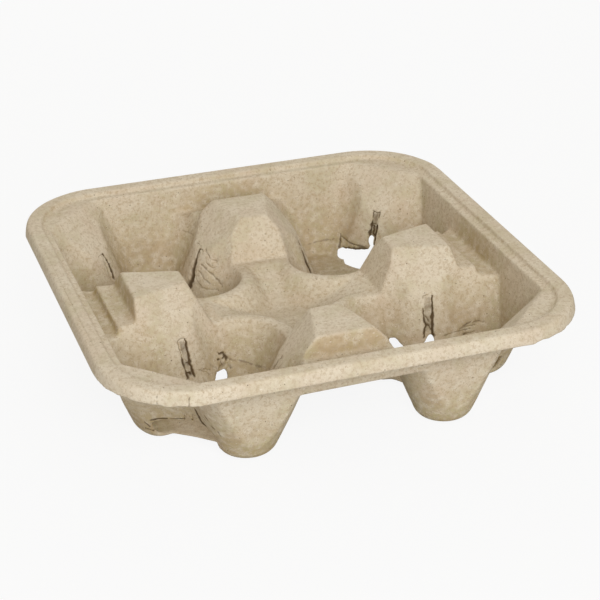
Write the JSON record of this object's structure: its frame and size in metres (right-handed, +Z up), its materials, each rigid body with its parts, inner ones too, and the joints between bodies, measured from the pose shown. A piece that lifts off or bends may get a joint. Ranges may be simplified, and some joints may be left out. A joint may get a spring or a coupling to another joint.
{
  "type": "cup carrier",
  "caption": "Moulded pulp cup carrier: a square tray with a flat rim, flared cup pockets on round feet, split pocket walls, raised posts and a dished middle.",
  "frame": {"origin": "middle of the tray, on the plane its feet stand on", "axes": "+Z up through the tray, +X and +Y square to its sides"},
  "size_m": [0.216, 0.216, 0.05],
  "materials": {
    "pulp": "matt, fibrous, with dark and pale specks"
  },
  "bodies": {
    "root": {"carrier": "pulp"}
  },
  "joints": []
}
